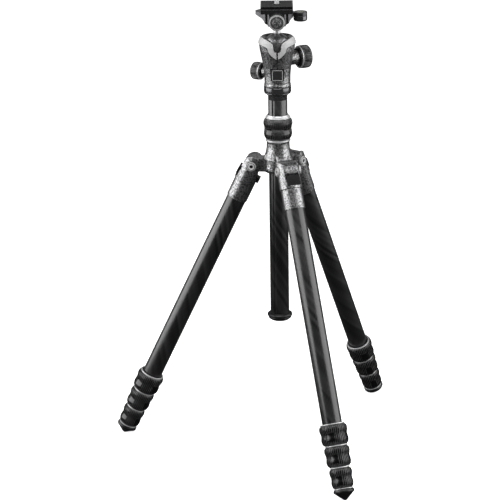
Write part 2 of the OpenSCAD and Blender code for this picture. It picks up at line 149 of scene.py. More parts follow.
def finish_mesh(name, mesh, matrix, material):
    bm = bmesh.new()
    bm.from_mesh(mesh)
    bmesh.ops.remove_doubles(bm, verts=bm.verts, dist=1e-6)
    bmesh.ops.recalc_face_normals(bm, faces=bm.faces)
    bm.to_mesh(mesh)
    bm.free()
    mesh.polygons.foreach_set("use_smooth", [True] * len(mesh.polygons))
    mesh.set_sharp_from_angle(angle=SHARP)
    obj = bpy.data.objects.new(name, mesh)
    bpy.context.scene.collection.objects.link(obj)
    obj.matrix_world = matrix @ Matrix.Diagonal((1 / MM, 1 / MM, 1 / MM, 1))
    mesh.materials.append(material)
    return obj


def fillet(points, radius, steps=4):
    """A closed outline with its corners rounded; a point may carry its own radius as a third value."""
    rounded = []
    count = len(points)
    for i, point in enumerate(points):
        p = Vector(point[:2])
        a, b = Vector(points[i - 1][:2]), Vector(points[(i + 1) % count][:2])
        r = point[2] if len(point) > 2 else radius
        u, v = (a - p), (b - p)
        if r <= 0 or u.length < 1e-6 or v.length < 1e-6:
            rounded.append(tuple(p))
            continue
        half = u.angle(v) / 2
        if half > math.radians(86):
            rounded.append(tuple(p))
            continue
        cut = min(r / math.tan(half), 0.45 * u.length, 0.45 * v.length)
        start, end = p + u.normalized() * cut, p + v.normalized() * cut
        for s in range(steps + 1):
            t = s / steps
            rounded.append(tuple(start * (1 - t) ** 2 + p * 2 * t * (1 - t) + end * t ** 2))
    return rounded


def lathe(name, outline, matrix, material, segments=96, closed=True, wobble=None):
    """Turns an (r, z) outline about Z. wobble(angle, r, z) may return a changed radius."""
    verts, faces = [], []
    for s in range(segments):
        angle = 2 * math.pi * s / segments
        for r, z in outline:
            radius = wobble(angle, r, z) if wobble and r > 0 else r
            verts.append((radius * math.cos(angle), radius * math.sin(angle), z))
    n = len(outline)
    for s in range(segments):
        a, b = s * n, ((s + 1) % segments) * n
        for i in range(n if closed else n - 1):
            j = (i + 1) % n
            faces.append((a + i, b + i, b + j, a + j))
    crests = None
    if wobble:
        # 1 where the outline is left as it is, 0 where it is cut 0.5 mm deep or more; the knurled rubber
        # paints highlight on the 1s and shade on the 0s
        cuts = [outline[i % n][0] - math.hypot(v[0], v[1]) for i, v in enumerate(verts)]
        crests = [1 - min(max(cut / 0.5, 0.0), 1.0) for cut in cuts]
    return mesh_object(name, verts, faces, matrix, material, crests)


def prism(name, outline, low, high, matrix, material, bevel=0.4):
    """An outline in the local XY plane, extruded from low to high along Z, with softened edges."""
    bm = bmesh.new()
    bottom = [bm.verts.new((x * MM, y * MM, low * MM)) for x, y in outline]
    top = [bm.verts.new((x * MM, y * MM, high * MM)) for x, y in outline]
    bm.faces.new(bottom[::-1])
    bm.faces.new(top)
    for i in range(len(outline)):
        j = (i + 1) % len(outline)
        bm.faces.new((bottom[i], bottom[j], top[j], top[i]))
    if bevel:
        edges = [e for e in bm.edges if e.is_manifold and e.calc_face_angle(0) > SHARP]
        bmesh.ops.bevel(bm, geom=edges, offset=bevel * MM, segments=3, profile=0.5,
                        affect="EDGES", clamp_overlap=True)
    mesh = bpy.data.meshes.new(name)
    bm.to_mesh(mesh)
    bm.free()
    return finish_mesh(name, mesh, matrix, material)


def block(name, low, high, matrix, material, bevel=0.4):
    outline = [(low[0], low[1]), (high[0], low[1]), (high[0], high[1]), (low[0], high[1])]
    return prism(name, outline, low[2], high[2], matrix, material, bevel)


def joined(name, parts):
    """One object made of several; the first gives it its place."""
    with bpy.context.temp_override(active_object=parts[0], selected_editable_objects=parts):
        bpy.ops.object.join()
    parts[0].name = name
    parts[0].data.name = name
    return parts[0]


def applied(obj):
    """Applies an object's modifiers to its mesh."""
    bpy.context.view_layer.update()
    graph = bpy.context.evaluated_depsgraph_get()
    mesh = bpy.data.meshes.new_from_object(obj.evaluated_get(graph))
    obj.modifiers.clear()
    obj.data = mesh


def cast(node, name, material, voxel, smooth, cut=None):
    """A piece with a CAD node's shape and every edge softened, as a casting's edges are."""
    mesh = frame["nodes"][node].data.copy()
    mesh.materials.clear()
    bm = bmesh.new()
    bm.from_mesh(mesh)
    bmesh.ops.remove_doubles(bm, verts=bm.verts, dist=2e-6)
    bm.to_mesh(mesh)
    bm.free()
    obj = bpy.data.objects.new(name, mesh)
    bpy.context.scene.collection.objects.link(obj)
    mesh.materials.append(material)
    if cut:
        carve = obj.modifiers.new("carve", "BOOLEAN")
        carve.operation, carve.solver, carve.object = "DIFFERENCE", "EXACT", cut
        applied(obj)
        bpy.data.objects.remove(cut)
    remesh = obj.modifiers.new("remesh", "REMESH")
    remesh.mode, remesh.voxel_size = "VOXEL", voxel * MM
    relax = obj.modifiers.new("relax", "SMOOTH")
    relax.factor, relax.iterations = 0.5, smooth
    applied(obj)
    obj.data.polygons.foreach_set("use_smooth", [True] * len(obj.data.polygons))
    obj.data.materials.clear()
    obj.data.materials.append(material)
    return obj


def put(obj, body, slot, *nodes):
    """The piece rides on a body and stands for the CAD nodes given, which are hidden; slot is not used."""
    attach(obj, body)
    if nodes:
        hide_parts(*nodes)


# ---------- materials ----------

class Shader:
    """A Principled material and short calls for the nodes that feed it."""

    def __init__(self, name, color, metallic=0.0, roughness=0.5, **values):
        self.material = bpy.data.materials.new(name)
        self.material.use_nodes = True
        self.tree = self.material.node_tree
        self.bsdf = self.tree.nodes["Principled BSDF"]
        self.set("Base Color", (*color, 1))
        self.set("Metallic", metallic)
        self.set("Roughness", roughness)
        for socket, value in values.items():
            self.set(socket.replace("_", " "), value)
        self.place = self.node("ShaderNodeTexCoord").outputs["Object"]

    def set(self, socket, value):
        self.bsdf.inputs[socket].default_value = value

    def node(self, kind, **inputs):
        made = self.tree.nodes.new(kind)
        for socket, value in inputs.items():
            self.feed(made.inputs[socket.replace("_", " ")], value)
        return made

    def feed(self, socket, value):
        if isinstance(value, bpy.types.NodeSocket):
            self.tree.links.new(value, socket)
        else:
            socket.default_value = value

    def noise(self, size, detail=3.0, rough=0.55):
        """Noise with features about size millimetres across."""
        return self.node("ShaderNodeTexNoise", Vector=self.place, Scale=1 / (size * MM),
                         Detail=detail, Roughness=rough).outputs["Fac"]

    def cells(self, size):
        """Distance from the middles of rounded cells about size millimetres across."""
        made = self.node("ShaderNodeTexVoronoi", Vector=self.place, Scale=1 / (size * MM))
        made.feature = "SMOOTH_F1"
        return made.outputs["Distance"]

    def math(self, operation, a, b=0.0):
        made = self.tree.nodes.new("ShaderNodeMath")
        made.operation = operation
        for socket, value in zip(made.inputs, (a, b)):
            self.feed(socket, value)
        return made.outputs[0]

    def between(self, fac, low, high, start=0.0, end=1.0):
        """Maps fac from start..end to low..high, clamped."""
        made = self.node("ShaderNodeMapRange", Value=fac, From_Min=start, From_Max=end,
                         To_Min=low, To_Max=high)
        return made.outputs["Result"]

    def blend(self, fac, a, b):
        """A colour between a and b."""
        made = self.tree.nodes.new("ShaderNodeMix")
        made.data_type = "RGBA"
        self.feed(made.inputs["Factor"], fac)
        self.feed(made.inputs["A"], (*a, 1) if isinstance(a, tuple) else a)
        self.feed(made.inputs["B"], (*b, 1) if isinstance(b, tuple) else b)
        return made.outputs["Result"]

    def drive(self, socket, value):
        self.feed(self.bsdf.inputs[socket], value)

    def bump(self, height, strength, distance):
        """Bump of distance millimetres."""
        made = self.node("ShaderNodeBump", Height=height, Strength=strength, Distance=distance * MM)
        self.drive("Normal", made.outputs["Normal"])

    def edges(self, low, high):
        """1 on convex edges, where the finish wears, 0 elsewhere."""
        return self.between(self.node("ShaderNodeNewGeometry").outputs["Pointiness"], 0, 1, low, high)


def hammered_enamel():
    """Dark grey hammered enamel: shallow dimples, brighter in the middle than at their rims."""
    s = Shader("hammered_enamel", (0.13, 0.13, 0.134), 0.9, 0.24, Coat_Weight=0.4, Coat_Roughness=0.12)
    dimples = s.cells(1.65)
    fine = s.noise(0.9, 2.0)
    height = s.math("ADD", dimples, s.math("MULTIPLY", fine, 0.35))
    s.bump(height, 0.7, 0.4)
    depth = s.between(dimples, 0, 1, 0.15, 0.65)
    s.drive("Base Color", s.blend(depth, (0.33, 0.33, 0.334), (0.07, 0.07, 0.072)))
    s.drive("Roughness", s.between(fine, 0.26, 0.42, 0.3, 0.7))
    return s.material


def knurled_rubber():
    """Black rubber with a dull bloom, a painted highlight on its rib crests and painted shade in its grooves
    and windows.
    """
    s = Shader("knurled_rubber", (0.003, 0.003, 0.0031), 0.0, 0.28, Specular_IOR_Level=0.5)
    grain = s.noise(0.5, 4.0)
    bloom = s.between(s.noise(9.0, 3.0), 0, 1, 0.35, 0.7)
    # Colour for the rib crests: a painted highlight, with a random bloom through it
    crest_light_colour = s.blend(bloom, (0.03, 0.03, 0.0305), (0.048, 0.048, 0.0485))
    # Painted highlight on the rib crests and painted shade in the grooves and windows, read from the crest
    # attribute
    crest = s.node("ShaderNodeAttribute")
    crest.attribute_name = "crest"
    wear_and_crest_light = s.between(crest.outputs["Fac"], 0, 1, 0.55, 0.95)
    s.drive("Base Color", s.blend(wear_and_crest_light, (0.001, 0.001, 0.00105), crest_light_colour))
    s.drive("Roughness", s.between(grain, 0.2, 0.28, 0.3, 0.7))
    s.bump(grain, 0.2, 0.05)
    return s.material


def smooth_rubber():
    """The plain rubber of the feet and of the column's end cap."""
    s = Shader("smooth_rubber", (0.004, 0.004, 0.0042), 0.0, 0.36, Specular_IOR_Level=0.4)
    grain = s.noise(0.35, 4.0)
    s.drive("Roughness", s.between(s.noise(6.0, 3.0), 0.3, 0.44, 0.35, 0.65))
    s.bump(grain, 0.2, 0.05)
    return s.material


def carbon_weave():
    """Wound carbon fibre under lacquer: tows lie in two crossed helices, one on top of the other."""
    s = Shader("carbon_weave", (0.004, 0.004, 0.0043), 0.0, 0.38, Coat_Weight=0.5, Coat_Roughness=0.2,
               Specular_IOR_Level=0.42)
    split = s.node("ShaderNodeSeparateXYZ", Vector=s.place).outputs
    angle = s.math("ARCTAN2", split["Y"], split["X"])
    # Whole numbers of tows go round the tube, so the helices close on themselves
    across = s.math("MULTIPLY", angle, TOWS_ROUND / (2 * math.pi))
    along = s.math("MULTIPLY", split["Z"], 1 / (TOW_RISE * MM))
    upper = s.math("ADD", across, along)
    lower = s.math("SUBTRACT", along, across)
    crown = s.math("PINGPONG", upper, 0.5)
    shade = s.node("ShaderNodeTexWhiteNoise")
    shade.noise_dimensions = "1D"
    s.feed(shade.inputs["W"], s.math("FLOOR", upper))
    gap = s.math("GREATER_THAN", s.math("PINGPONG", lower, 0.5), 0.44)
    tow = s.blend(shade.outputs["Value"], (0.002, 0.002, 0.0022), (0.014, 0.014, 0.0146))
    s.drive("Base Color", s.blend(s.math("MULTIPLY", gap, 0.5), tow, (0.02, 0.02, 0.021)))
    s.drive("Roughness", s.between(shade.outputs["Value"], 0.3, 0.44))
    s.bump(s.math("ADD", crown, s.math("MULTIPLY", gap, 0.15)), 0.4, 0.2)
    return s.material


def black_anodise():
    """Satin black anodised alloy with a fine grain and bare edges."""
    s = Shader("black_anodise", (0.012, 0.012, 0.013), 0.6, 0.3)
    grain = s.noise(0.3, 4.0)
    s.drive("Base Color", s.blend(s.edges(0.56, 0.66), (0.01, 0.01, 0.011), (0.09, 0.09, 0.094)))
    s.drive("Roughness", s.between(s.noise(4.0, 4.0), 0.24, 0.36, 0.3, 0.7))
    s.bump(grain, 0.12, 0.04)
    return s.material


def polished_black():
    """Black anodising over a polished surface."""
    s = Shader("polished_black", (0.09, 0.09, 0.094), 0.85, 0.13)
    s.drive("Base Color", s.blend(s.noise(4.0), (0.075, 0.075, 0.079), (0.11, 0.11, 0.114)))
    s.drive("Roughness", s.between(s.noise(1.6, 5.0, 0.7), 0.1, 0.2, 0.35, 0.7))
    return s.material


def gunmetal():
    """Dark satin alloy with a fine grain and bare edges."""
    s = Shader("gunmetal", (0.055, 0.055, 0.058), 0.85, 0.28)
    s.drive("Base Color", s.blend(s.edges(0.53, 0.62), (0.05, 0.05, 0.053), (0.2, 0.2, 0.205)))
    s.drive("Roughness", s.between(s.noise(3.0, 4.0), 0.22, 0.34, 0.3, 0.7))
    s.bump(s.noise(0.3, 4.0), 0.1, 0.04)
    return s.material


def turned_face():
    """A dark face turned on a lathe, with fine grooves round its centre."""
    s = Shader("turned_face", (0.17, 0.17, 0.175), 0.9, 0.3)
    split = s.node("ShaderNodeSeparateXYZ", Vector=s.place).outputs
    flat = s.node("ShaderNodeCombineXYZ", X=split["X"], Y=split["Y"])
    radius = s.node("ShaderNodeVectorMath", Vector=flat.outputs["Vector"])
    radius.operation = "LENGTH"
    grooves = s.node("ShaderNodeTexNoise")
    grooves.noise_dimensions = "1D"
    s.feed(grooves.inputs["W"], radius.outputs["Value"])
    grooves.inputs["Scale"].default_value = 1 / (0.3 * MM)
    s.drive("Base Color", s.blend(grooves.outputs["Fac"], (0.11, 0.11, 0.113), (0.19, 0.19, 0.193)))
    s.bump(grooves.outputs["Fac"], 1.0, 0.3)
    return s.material


def plate_rubber():
    """The plate's dull rubber top."""
    s = Shader("plate_rubber", (0.02, 0.02, 0.0204), 0.0, 0.6, Specular_IOR_Level=0.2)
    grain = s.noise(0.4, 4.0)
    s.drive("Base Color", s.blend(s.noise(5.0), (0.015, 0.015, 0.0153), (0.03, 0.03, 0.0305)))
    s.drive("Roughness", s.between(grain, 0.65, 0.8, 0.3, 0.7))
    s.bump(grain, 0.3, 0.06)
    return s.material


def polished_steel():
    """Polished steel, slightly clouded."""
    s = Shader("polished_steel", (0.6, 0.6, 0.61), 0.55, 0.32)
    streak = s.noise(1.2, 5.0, 0.7)
    s.drive("Roughness", s.between(streak, 0.28, 0.4, 0.35, 0.7))
    s.drive("Base Color", s.blend(s.noise(3.0), (0.42, 0.42, 0.427), (0.52, 0.52, 0.527)))
    s.bump(streak, 0.05, 0.03)
    return s.material


def silver_trim(name, grey):
    """Bead-blasted silver anodising with bright edges where it wears through."""
    s = Shader(name, (grey, grey, grey), 0.05, 0.5)
    beads = s.noise(0.35, 4.0)
    dull, light, bare = [tuple([grey * share] * 3) for share in (0.93, 1.07, 1.7)]
    body = s.blend(s.noise(2.5), dull, light)
    s.drive("Base Color", s.blend(s.edges(0.54, 0.62), body, bare))
    s.drive("Roughness", s.between(beads, 0.46, 0.58, 0.3, 0.7))
    s.bump(beads, 0.2, 0.04)
    return s.material


def dark_ball():
    """Hard-anodised ball, grey and satin, with the faint rubs of its lip."""
    s = Shader("dark_ball", (0.2, 0.2, 0.205), 0.85, 0.3)
    rubs = s.noise(5.0, 5.0, 0.7)
    wear_and_crest_light = s.between(rubs, 0, 1, 0.4, 0.7)
    s.drive("Base Color", s.blend(wear_and_crest_light, (0.17, 0.17, 0.175), (0.25, 0.25, 0.255)))
    s.drive("Roughness", s.between(rubs, 0.26, 0.38, 0.35, 0.7))
    return s.material


def moulded_nylon():
    """Moulded black nylon with a fine spark texture."""
    s = Shader("moulded_nylon", (0.006, 0.006, 0.0063), 0.0, 0.42, Specular_IOR_Level=0.1)
    grain = s.noise(0.4, 3.0)
    s.drive("Base Color", s.blend(s.noise(5.0), (0.004, 0.004, 0.0042), (0.009, 0.009, 0.0094)))
    s.drive("Roughness", s.between(grain, 0.36, 0.5, 0.3, 0.7))
    s.bump(grain, 0.25, 0.05)
    return s.material


def level_fluid():
    """Yellow-green spirit behind clear plastic."""
    s = Shader("level_fluid", (0.36, 0.42, 0.2), 0.0, 0.05, IOR=1.45, Coat_Weight=1.0, Coat_Roughness=0.02,
               Transmission_Weight=0.4)
    s.drive("Base Color", s.blend(s.noise(3.0), (0.33, 0.4, 0.18), (0.4, 0.46, 0.23)))
    return s.material


TOWS_ROUND, TOW_RISE = 18, 7.0

HAMMERED = hammered_enamel()
KNURLED = knurled_rubber()
RUBBER = smooth_rubber()
CARBON = carbon_weave()
ANODISED = black_anodise()
GLOSS = polished_black()
GUNMETAL = gunmetal()
TURNED = turned_face()
PLATE_TOP = plate_rubber()
STEEL = polished_steel()
TRIM = silver_trim("silver_trim", 0.33)
SATIN = silver_trim("satin_rim", 0.17)
BALL = dark_ball()
NYLON = moulded_nylon()
FLUID = level_fluid()


# ---------- shared shapes ----------

def smooth_step(x, low, high):
    t = min(max((x - low) / (high - low), 0.0), 1.0)
    return t * t * (3 - 2 * t)


def lobed_outline(r, length, steps=40):
    """The outer outline of a twist lock, from z 0 at its top: a wide lobe, a waist and a narrower lobe."""
    points = []
    for i in range(steps + 1):
        t = i / steps
        lobe = 0.55 * math.cos(4 * math.pi * (t - 0.24)) - 0.55
        taper = -0.55 * smooth_step(t, 0.35, 0.8)
        ends = -2.3 * (1 - smooth_step(t, 0.0, 0.12)) - 1.9 * smooth_step(t, 0.9, 1.0)
        points.append((r + lobe + taper + ends, t * length))
    return points


def rib_groove(ribs, angle, land):
    """0 on a rib and 1 at the bottom of the groove between two; a larger land makes a wider rib."""
    return 1 - min(max(land + 1.1 * math.cos(ribs * angle), 0.0), 1.0)


def outside_only(wobble, limit):
    """A wobble that leaves everything nearer the axis than limit as it is."""
    return lambda angle, r, z: wobble(angle, r, z) if r > limit else r


def knurl(ribs, depth, bands, length, patches, patch_width, patch_band):
    """Radius change for vertical ribs, inside bands of height given as shares of length.

    patches are the directions of smooth windows, whose height is patch_band."""
    def wobble(angle, r, z):
        t = z / length
        inside = max(smooth_step(t, a, a + 0.04) * (1 - smooth_step(t, b - 0.04, b)) for a, b in bands)
        for centre in patches:
            off = abs((angle - centre + math.pi) % (2 * math.pi) - math.pi)
            if patch_band[0] < t < patch_band[1] and off < patch_width:
                # A window sits 0.25 mm in, so the knurled rubber gives it the near black of its painted
                # groove shade
                return r - 0.25
        return r - depth * rib_groove(ribs, angle, 0.4) * inside
    return wobble


def ring(name, r_in, r_out, z0, z1, matrix, material=None, radius=0.35):
    """A plain ring with rounded edges."""
    outline = fillet([(r_in, z0), (r_out, z0), (r_out, z1), (r_in, z1)], radius)
    return lathe(name, outline, matrix, material or STEEL)


# ---------- legs ----------

TUBE_WALL = 1.3
RIM = 0.35
LOCK_PATCHES = [math.radians(a) for a in (0, 90, 180, 270)]
LOCK_TURN = math.radians(37)


def tube_piece(name, node, matrix):
    r, z0, z1 = turned_size(node, matrix)
    outline = fillet([(r - TUBE_WALL, z0), (r, z0), (r, z1), (r - TUBE_WALL, z1)], RIM)
    return lathe(name, outline, matrix, CARBON, 112)


def twist_lock(k, i):
    """Rubber collar, its polished top ring, and on the last lock a thin ring above the foot."""
    lock, matrix = f"lock{i}_{k}", LEG[k]
    r, z0, z1 = turned_size(lock, matrix)
    length = z1 - z0
    bore_top = local_box(f"tube{i}_{k}", matrix)[1].x + 0.25
    bore_bottom = local_box(f"tube{i + 1}_{k}", matrix)[1].x + 0.25
    place = matrix @ Matrix.Translation((0, 0, z0)) @ Matrix.Rotation(LOCK_TURN, 4, "Z")
    outer = lobed_outline(r, length)
    step = length - 7.0
    inner = [(bore_bottom, length), (bore_bottom, step), (bore_top, step), (bore_top, 1.6),
             (r - 3.9, 1.6), (r - 3.9, 0.2)]
    wobble = knurl(48 - 4 * i, 1.0, [(0.06, 0.94)], length, LOCK_PATCHES, 0.3, (0.42, 0.84))
    collar = lathe(f"leg{k}_lock{i}_collar", outer + inner, place, KNURLED, 480,
                   wobble=outside_only(wobble, r - 3.7))
    put(collar, lock, "black_rubber", lock)
    top = ring(f"leg{k}_lock{i}_ring", r - 3.85, r - 2.1, -0.3, 1.0, place, STEEL, 0.45)
    put(top, lock, "polished_steel")
    if i == 3:
        foot_ring = ring(f"leg{k}_foot_ring", bore_bottom + 0.1, r - 2.2, length - 0.3, length + 0.45, place)
        put(foot_ring, lock, "polished_steel")


def foot_piece(k):
    """Rubber foot: a rolled lip, a step and a cone with a small tip."""
    matrix, node = LEG[k], f"foot_{k}"
    r, z0, z1 = turned_size(node, matrix)
    length = z1 - z0
    bore = local_box(f"tube4_{k}", matrix)[1].x + 0.05
    place = matrix @ Matrix.Translation((0, 0, z0))
    outline = fillet([
        (bore, 0.6, 0.2), (r - 2.6, 0.6, 0.3), (r - 2.2, 0.0, 0.3), (r - 0.8, 0.2, 0.8), (r, 2.2, 1.2),
        (r, 4.2, 1.2), (r - 2.0, 5.6, 0.6), (r - 2.6, 5.7, 0.3), (r - 3.2, 6.6, 0.3),
        (1.6, length - 0.3, 1.0), (0, length, 0), (0, 3.0, 0), (bore, 3.0, 0.2)
    ], 0.3, 3)
    piece = lathe(f"leg{k}_foot", outline, place, RUBBER, 96)
    put(piece, f"section4_{k}", "foot_rubber", node)


def bolt_piece(k):
    """Pivot bolt: a shank and two heads, each with a hex socket; a black ring in the groove under each head's
    rim and a black plug deep in each socket are painted shade.
    """
    matrix, node = LEG[k], f"leg_bolt_{k}"
    high = local_box(node, matrix)[1]
    r, half = high.x, high.y
    shank = fillet([(0, -half + 4, 0), (3, -half + 4), (3, half - 4), (0, half - 4, 0)], 0.2)
    parts = [lathe(f"leg{k}_bolt", shank, matrix @ Matrix.Rotation(math.radians(-90), 4, "X"), STEEL, 48)]
    socket, depth = 2.4, 2.6

    def hexed(angle, radius, z):
        """Turns the socket's radius into a hexagon's."""
        if radius > socket + 0.01:
            return radius
        turn = (angle + math.pi / 6) % (math.pi / 3) - math.pi / 6
        return radius * math.cos(math.pi / 6) / math.cos(turn)

    for side in (-1, 1):
        turn = Matrix.Rotation(math.radians(-90 * side), 4, "X")
        head = [(0, half - depth, 0), (socket, half - depth, 0), (socket, half - 0.35, 0.0),
                (socket + 0.3, half, 0.1), (r - 2.0, half, 0.2), (r - 1.8, half - 0.9, 0.1),
                (r - 1.2, half - 0.9, 0.1), (r - 1.0, half, 0.2), (r - 0.3, half - 0.5, 0.4),
                (r - 0.3, half - 1.6, 0.3), (r - 0.3, half - 2.7, 0.2), (0, half - 2.7, 0)]
        parts.append(lathe(f"leg{k}_head", fillet(head, 0.2, 3), matrix @ turn, TRIM, 72, wobble=hexed))
        # Black ring filling the groove under the head's rim: painted shade in the groove
        groove_shade_ring = fillet([(r - 1.8, half - 1.0), (r - 1.2, half - 1.0), (r - 1.2, half - 0.3),
                       (r - 1.8, half - 0.3)], 0.1)
        parts.append(lathe("groove_shade_ring", groove_shade_ring, matrix @ turn, NYLON, 72))
        # Black plug at the bottom of the hex socket: painted shade in the socket
        socket_shade_plug = [(0, half - 2.7), (socket - 0.3, half - 2.7), (socket - 0.3, half - 1.0), (0, half - 1.0)]
        parts.append(lathe("socket_shade_plug", socket_shade_plug, matrix @ turn, NYLON, 48))
    piece = joined(f"leg{k}_pivot_bolt", parts)
    put(piece, f"leg_{k}", "polished_steel", node)


def catch_piece(k):
    """Angle catch: a ribbed tab outside, the bar through the casting and the nose inside."""
    matrix, node = LEG[k], f"angle_catch_{k}"
    low, high = local_box(node, matrix)
    tab_in, bar_z = low.x + 3.0, 12.2
    parts = [
        block("tab", (low.x + 0.5, low.y, 8.0), (tab_in, high.y, 20.5), matrix, NYLON, 0.5),
        block("bar", (tab_in - 0.4, low.y + 0.1, bar_z), (9.8, high.y - 0.1, bar_z + 3.6), matrix,
              NYLON, 0.3),
        block("nose", (9.5, -6, bar_z + 0.2), (high.x, 6, bar_z + 6.8), matrix, NYLON, 1.2),
    ]
    for z in (14.6, 16.4, 18.2):
        parts.append(block("rib", (low.x, low.y + 1.2, z - 0.4), (low.x + 1.2, high.y - 1.2, z + 0.4),
                           matrix, NYLON, 0.25))
    piece = joined(f"leg{k}_angle_catch", parts)
    put(piece, f"angle_catch_{k}", "black_nylon", node)


def leg(k):
    matrix = LEG[k]
    casting = cast(f"leg_top_{k}", f"leg{k}_casting", HAMMERED, 0.32, 5)
    put(casting, f"leg_{k}", "hammered_grey", f"leg_top_{k}")
    bolt_piece(k)
    catch_piece(k)
    for i in (1, 2, 3, 4):
        body = f"leg_{k}" if i == 1 else f"section{i}_{k}"
        put(tube_piece(f"leg{k}_tube{i}", f"tube{i}_{k}", matrix), body, "carbon_tube", f"tube{i}_{k}")
    for i in (1, 2, 3):
        twist_lock(k, i)
    foot_piece(k)


# ---------- hub and column ----------

def hub_pieces():
    casting = cast("hub", "hub_casting", HAMMERED, 0.36, 9)
    put(casting, "hub", "hammered_grey", "hub")
    # A set screw in each face between two legs
    outline = fillet([(0, 18.9, 0), (1.3, 18.9, 0), (1.3, 19.9, 0.1), (2.6, 20.1, 0.3), (3.0, 19.5, 0.3),
                      (3.0, 17.5, 0), (0, 17.5, 0)], 0.15)
    for k in LEGS:
        screw = lathe(f"hub_set_screw_{k}", outline, turned(AXIS, (k - 1) * 120, 1.0), STEEL, 40)
        put(screw, "hub", "polished_steel")


def hub_rim():
    """Bare turned band where the lock's collar meets the hub."""
    top, r = local_box("hub", AXIS)[1].z, 15.3
    band = fillet([(r - 1.2, top - 2.6, 0.1), (r + 0.15, top - 2.6, 0.2), (r + 0.45, top - 1.9, 0.2),
                   (r + 0.45, top - 0.4, 0.3), (r - 0.2, top - 0.05, 0.2), (r - 1.2, top - 0.05, 0.1)], 0.2)
    put(lathe("hub_rim", band, AXIS, STEEL, 128), "hub", "polished_steel")


def column_lock_pieces():
    """Knurled collar with smooth windows, and the stepped polished ring on it."""
    r, z0, z1 = turned_size("column_lock_collar", AXIS)
    length = z1 - z0
    flip = AXIS @ Matrix.Translation((0, 0, z1)) @ Matrix.Rotation(math.pi, 4, "X")
    bore = local_box("column_bush", AXIS)[1].x + 0.1
    outer = lobed_outline(r + 0.05, length)
    outline = outer + [(bore, length), (bore, 0.3), (r - 2.6, 0.3)]
    head_side = direction("tilt_side", AXIS) - 90
    patches = [-math.radians(head_side - 90 + a) for a in (42, 138, 222, 318)]
    wobble = knurl(44, 0.95, [(0.05, 0.5), (0.58, 0.95)], length, patches, 0.26, (0.42, 0.8))
    collar = lathe("column_lock_grip", outline, flip, KNURLED, 440, wobble=outside_only(wobble, r - 2.5))
    put(collar, "column_lock", "black_rubber", "column_lock_collar")
    r, z0, z1 = turned_size("column_lock_ring", AXIS)
    inner = local_box("column_tube", AXIS)[1].x + 0.35
    steps = fillet([
        (inner, z0, 0.1), (r, z0, 0.2), (r, z0 + 0.9, 0.3), (r - 0.7, z0 + 1.4, 0.3),
        (r - 0.9, z0 + 2.1, 0.25), (r - 1.6, z0 + 2.4, 0.25), (r - 2.6, z1, 0.3), (inner + 0.3, z1, 0.3)
    ], 0.2)
    polished = lathe("column_lock_polished_ring", steps, AXIS, STEEL, 128)
    put(polished, "column_lock", "silver_trim", "column_lock_ring")


def grooved_outline(r, direction, groove_r, depth, steps=160):
    """The column's section: a round tube with one shallow round groove."""
    centre = r + groove_r - depth
    # Half angles at which the groove's own circle meets the tube's, seen from each centre
    half = math.acos((r ** 2 + centre ** 2 - groove_r ** 2) / (2 * r * centre))
    inner = math.asin(r * math.sin(half) / groove_r)
    points = []
    for i in range(steps + 1):
        a = direction + half + (2 * math.pi - 2 * half) * i / steps
        points.append((r * math.cos(a), r * math.sin(a)))
    for i in range(1, 10):
        b = -inner + 2 * inner * i / 10
        x, y = centre - groove_r * math.cos(b), groove_r * math.sin(b)
        points.append((x * math.cos(direction) - y * math.sin(direction),
                       x * math.sin(direction) + y * math.cos(direction)))
    return points


COLUMN_R = 12.15
GROOVE_DIRECTION, GROOVE_R, GROOVE_DEPTH = math.radians(249), 2.8, 1.0


def column_tube_piece():
    low, high = local_box("column_tube", AXIS)
    outline = grooved_outline(COLUMN_R, GROOVE_DIRECTION, GROOVE_R, GROOVE_DEPTH)
    verts, faces = [], []
    n = len(outline)
    bore = COLUMN_R - 1.6
    # Rings: outer bottom, outer top, then the bore, joined by flat ends
    for z in (low.z, low.z + 0.3, high.z - 0.3, high.z):
        inset = 0.985 if z in (low.z, high.z) else 1.0
        verts += [(x * inset, y * inset, z) for x, y in outline]
    for z in (high.z, low.z):
        verts += [(x * bore / math.hypot(x, y), y * bore / math.hypot(x, y), z) for x, y in outline]
    for level in range(6):
        a, b = level * n, ((level + 1) % 6) * n
        for i in range(n):
            j = (i + 1) % n
            faces.append((a + i, a + j, b + j, b + i))
    put(mesh_object("column_carbon_tube", verts, faces, AXIS, CARBON), "column", "carbon_tube", "column_tube")


def column_platform():
    r, z0, z1 = turned_size("column_top", AXIS)
    flare = fillet([
        (4.85, z0, 0.2), (10.5, z0, 0.3), (10.5, z0 + 7.1, 0.1), (COLUMN_R, z0 + 7.1, 0.3),
        (COLUMN_R, z1 - 4.6, 0.8), (r - 1.4, z1 - 1.6, 0.8), (r, z1 - 0.9, 0.3), (r, z1, 0.2), (4.85, z1, 0.2)
    ], 0.3)
    put(lathe("column_platform", flare, AXIS, GLOSS, 128), "column", "black_anodised", "column_top")


def pan_base_piece():
    r, z0, z1 = turned_size("pan_base", AXIS)
    top = z0 + 7.6
    base = fillet([
        (4.85, z0, 0.2), (r - 0.6, z0, 0.3), (r, z0 + 0.6, 0.4), (r, top - 0.5, 0.3), (r - 0.5, top, 0.2),
        (9, top, 0.1), (9, z1, 0.4), (0, z1, 0), (0, z1 - 21, 0), (4.85, z1 - 21, 0.2)
    ], 0.3)
    put(lathe("pan_base_ring", base, AXIS, GLOSS, 128), "column", "black_anodised", "pan_base")


